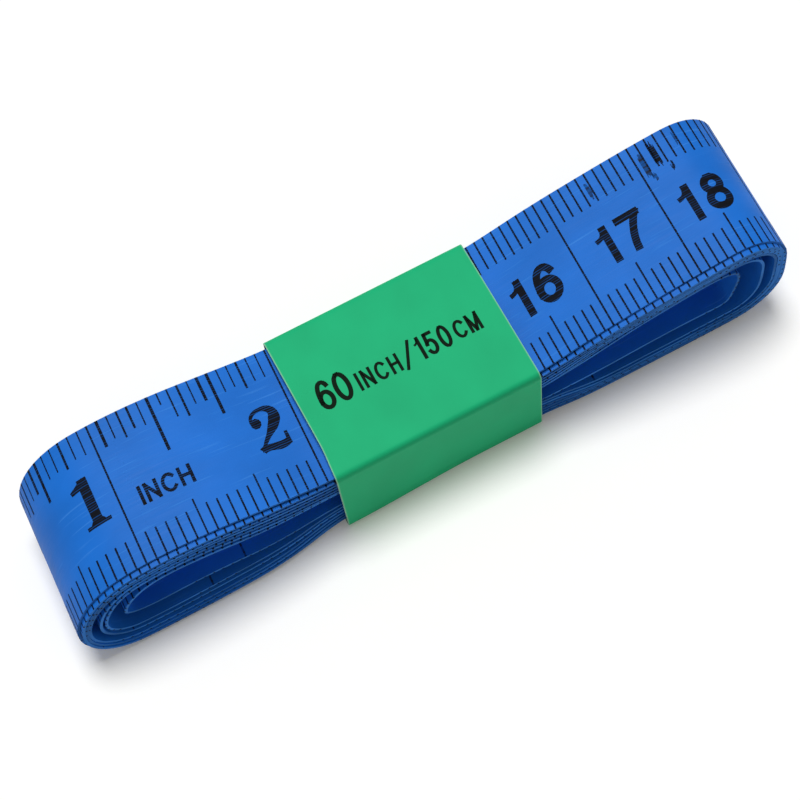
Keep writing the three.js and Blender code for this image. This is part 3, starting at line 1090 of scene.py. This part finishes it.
class TAPE_OT_crimp_tips(bpy.types.Operator):
    """Fold a metal tip over each end of the tape"""

    bl_idname = "tape_measure.crimp_tips"
    bl_label = "Crimp Tips"

    def execute(self, context):
        metal = metal_finish(context.scene.tape_colours)
        start = ("start_tip", START_TIP_LOW, START_TIP_HIGH, 1)
        end = ("end_tip", END_TIP_LOW, END_TIP_HIGH, -1)
        for node, low, high, facing in (start, end):
            path = tip_path(low, high, facing)
            bm = flat_sheet(path.length, high.y - low.y, TIP_WALL, TIP_ROWS, TIP_COLUMNS, edge_slot=0)
            lay_along(bm, path)
            bmesh.ops.recalc_face_normals(bm, faces=bm.faces)
            piece = piece_from(bm, "folded_" + node, [metal], "coil")
            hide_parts(node)
            press_flat(piece)
        return {"FINISHED"}


FOLD_STEPS = 12


def sleeve_path(sizes):
    """The middle of the paper, from its inner end at the back, under the coil and over to its outer end."""
    half_paper = sizes.paper / 2
    front = SLEEVE_LOW.y + half_paper
    floor = SLEEVE_LOW.z + half_paper
    roof = SLEEVE_HIGH.z - half_paper
    outer_back = SLEEVE_HIGH.y - half_paper
    inner_back = outer_back - sizes.paper
    radius = sizes.fold + half_paper
    folds = [
        (inner_back - radius, floor + radius, 0),
        (front + radius, floor + radius, 270),
        (front + radius, roof - radius, 180),
        (outer_back - radius, roof - radius, 90),
    ]
    points = [Vector((inner_back, sizes.flap + sizes.lap))]
    for across, up, start in folds:
        points += arc(Vector((across, up)), radius, start, start - 90, FOLD_STEPS)
    points.append(Vector((outer_back, sizes.flap)))
    return Path(even_points(points, PATH_STEP))


def front_crease(path):
    """How far along the paper its fold at the top of the front lies."""
    folded = []
    for run, normal in zip(path.run, path.normals):
        if normal.x < -FACING and normal.y > FACING:
            folded.append(run)
    return sum(folded) / len(folded)


# The top swells between these depths below it
SWELL_FOOT = 2 * MM
SWELL_TOP = 0.5 * MM
# How far the left front foot is pushed out and the front's left end drawn out, and how far left that starts
FLARE = 0.5 * MM
FRONT_DRAW = 0.35 * MM
FLARE_START = SLEEVE_LOW.x / 3


def fold_paper(bm, path, bulge):
    """Folds flat paper along its path. Its top swells and its left front foot is pushed out."""
    lay_along(bm, path, across="X")
    half = (SLEEVE_HIGH.y - SLEEVE_LOW.y) / 2
    for vert in bm.verts:
        rise = smooth(vert.co.z, SLEEVE_HIGH.z - SWELL_FOOT, SLEEVE_HIGH.z - SWELL_TOP)
        vert.co.z += rise * bulge * max(0.0, 1 - (vert.co.y / half) ** 2)
        front = smooth(-vert.co.y, half / 2, half)
        left = smooth(-vert.co.x, FLARE_START, SLEEVE_HIGH.x)
        vert.co.y -= FLARE * front * left * (1 - smooth(vert.co.z, 0, SLEEVE_HIGH.z))
        vert.co.x -= FRONT_DRAW * front * left
    bmesh.ops.recalc_face_normals(bm, faces=bm.faces)


SLEEVE_ROWS = 260
SLEEVE_COLUMNS = 12


class TAPE_OT_fold_sleeve(bpy.types.Operator):
    """Cut the paper sleeve flat and fold it round the waist"""

    bl_idname = "tape_measure.fold_sleeve"
    bl_label = "Fold Sleeve"

    def execute(self, context):
        sizes = context.scene.sleeve_sizes
        path = sleeve_path(sizes)
        width = SLEEVE_HIGH.x - SLEEVE_LOW.x
        bm = flat_sheet(path.length, width, sizes.paper, SLEEVE_ROWS, SLEEVE_COLUMNS, edge_slot=1)
        fold_paper(bm, path, sizes.bulge)
        colours = context.scene.tape_colours
        crease = front_crease(path)
        finishes = [paper_finish(colours, crease), core_finish(colours)]
        piece = piece_from(bm, "sleeve", finishes, "sleeve")
        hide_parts("paper_sleeve")
        return {"FINISHED"}


LETTER_NARROW = 0.8
FIGURE_NARROW = 0.87
# The lettering: words, narrowness, and the height, pen, gap, left end and foot in mm
SLEEVE_LINES = [
    ("60", FIGURE_NARROW, (4.25, 0.6, 0.28, -11.75, -2.1)),
    ("INCH", LETTER_NARROW, (2.65, 0.4, 0.38, -6.35, -1.8)),
    ("/", LETTER_NARROW, (3.9, 0.42, 0, 0, -2.15)),
    ("150", LETTER_NARROW, (3.35, 0.48, 0.36, 2.15, -1.85)),
    ("CM", LETTER_NARROW, (2.7, 0.42, 0.28, 7.6, -1.6)),
]


class TAPE_OT_letter_sleeve(bpy.types.Operator):
    """Print the lengths on the top of the sleeve"""

    bl_idname = "tape_measure.letter_sleeve"
    bl_label = "Letter Sleeve"

    def execute(self, context):
        sizes = context.scene.sleeve_sizes
        path = sleeve_path(sizes)
        middle = distance_on_top(path, 0)
        lines = [sans_line(words, *in_mm(*places), narrow) for words, narrow, places in SLEEVE_LINES]
        bm = joined(lines)
        for vert in bm.verts:
            vert.co = (middle + vert.co.y, vert.co.x, sizes.paper / 2 + INK_LIFT + INK_DEPTH)
        bmesh.ops.reverse_faces(bm, faces=bm.faces)
        bmesh.ops.solidify(bm, geom=bm.faces[:], thickness=INK_DEPTH)
        fold_paper(bm, path, sizes.bulge)
        ink = lettering_finish(context.scene.tape_colours)
        piece_from(bm, "sleeve_lettering", [ink], "sleeve")
        return {"FINISHED"}


FRAME_PIXELS = 800
SENSOR = 36
AIM_PIXEL = (409, 407.6)
CLIP_START = 0.01
CLIP_END = 20


def place_camera(stage):
    """The photograph's view: the sleeve's foot falls on AIM_PIXEL."""
    turn = Matrix.Rotation(-stage.azimuth, 4, "Z")
    turn @= Matrix.Rotation(math.pi / 2 - stage.elevation, 4, "X")
    turn @= Matrix.Rotation(-stage.roll, 4, "Z")
    data = bpy.data.cameras.new("view")
    data.sensor_width = SENSOR
    data.lens = SENSOR * stage.focal / FRAME_PIXELS
    data.clip_start = CLIP_START
    data.clip_end = CLIP_END
    data.shift_x = (FRAME_PIXELS / 2 - AIM_PIXEL[0]) / FRAME_PIXELS
    data.shift_y = (AIM_PIXEL[1] - FRAME_PIXELS / 2) / FRAME_PIXELS
    camera = put_in("view", data)
    camera.matrix_world = turn @ Matrix.Translation((0, 0, stage.distance))
    bpy.context.scene.camera = camera


FLOOR_SIZE = 4.0
FLOOR_COLOUR = (0.92, 0.92, 0.92, 1)
FLOOR_GLOW = 0.09
WHITE = (1, 1, 1, 1)


def lay_floor():
    """A white table top, which glows a little for the camera alone."""
    bm = bmesh.new()
    bmesh.ops.create_grid(bm, x_segments=1, y_segments=1, size=FLOOR_SIZE)
    material, tree, shader = new_material("floor", FLOOR_COLOUR, roughness=0.9, specular=0.0)
    seen = tree.nodes.new("ShaderNodeLightPath").outputs["Is Camera Ray"]
    glow = spread(tree, seen, (0, 1), (0, FLOOR_GLOW))
    tree.links.new(glow, shader.inputs["Emission Strength"])
    shader.inputs["Emission Color"].default_value = WHITE
    mesh_from(bm, "floor", [material])


# The sky's strength and colour, and the sun's place and spread
SKY = 0.29
SKY_COLOUR = (1, 0.98, 0.85, 1)
KEY_PLACE = Vector((0.04, 0.175, 0.8))
KEY_SPREAD = math.radians(25)


def hang_lamps(stage):
    """A dim even sky, white in the picture, and one soft sun above and behind the object."""
    world = bpy.data.worlds.new("studio")
    world.use_nodes = True
    tree = world.node_tree
    sky = tree.nodes["Background"]
    seen = tree.nodes.new("ShaderNodeLightPath").outputs["Is Camera Ray"]
    tree.links.new(blend(tree, seen, SKY_COLOUR, WHITE), sky.inputs["Color"])
    tree.links.new(spread(tree, seen, (0, 1), (SKY, 1)), sky.inputs["Strength"])
    bpy.context.scene.world = world
    data = bpy.data.lights.new("key", "SUN")
    data.angle = KEY_SPREAD
    data.energy = stage.key
    lamp = put_in("key", data)
    lamp.location = KEY_PLACE
    lamp.rotation_euler = (-KEY_PLACE).to_track_quat("-Z", "Y").to_euler()


class TAPE_OT_set_stage(bpy.types.Operator):
    """Lay the floor, hang the lamps and place the camera"""

    bl_idname = "tape_measure.set_stage"
    bl_label = "Set Stage"

    def execute(self, context):
        lay_floor()
        hang_lamps(context.scene.stage_sizes)
        place_camera(context.scene.stage_sizes)
        context.scene.view_settings.view_transform = "Standard"
        return {"FINISHED"}


class TAPE_PT_panel(bpy.types.Panel):
    """Lists the steps that make the tape measure."""

    bl_idname = "TAPE_PT_panel"
    bl_label = "Tape Measure"
    bl_space_type = "VIEW_3D"
    bl_region_type = "UI"
    bl_category = "Tape Measure"

    def draw(self, context):
        for operator in OPERATORS:
            self.layout.operator(operator.bl_idname)


OPERATORS = [
    TAPE_OT_wind,
    TAPE_OT_print_scale,
    TAPE_OT_crimp_tips,
    TAPE_OT_fold_sleeve,
    TAPE_OT_letter_sleeve,
    TAPE_OT_set_stage,
]
GROUPS = {
    "tape_sizes": TapeSizes,
    "print_sizes": PrintSizes,
    "sleeve_sizes": SleeveSizes,
    "tape_colours": Colours,
    "stage_sizes": StageSizes,
}


def register():
    """Registers the classes and gives the scene its settings."""
    for name, group in GROUPS.items():
        bpy.utils.register_class(group)
        setattr(bpy.types.Scene, name, PointerProperty(type=group))
    for cls in [*OPERATORS, TAPE_PT_panel]:
        bpy.utils.register_class(cls)


def unregister():
    """Takes the classes and settings away again."""
    for cls in [TAPE_PT_panel, *reversed(OPERATORS)]:
        bpy.utils.unregister_class(cls)
    for name, group in GROUPS.items():
        delattr(bpy.types.Scene, name)
        bpy.utils.unregister_class(group)


def main():
    """Makes the whole scene."""
    register()
    for operator in OPERATORS:
        group, step = operator.bl_idname.split(".")
        getattr(getattr(bpy.ops, group), step)()


if __name__ == "__main__":
    main()
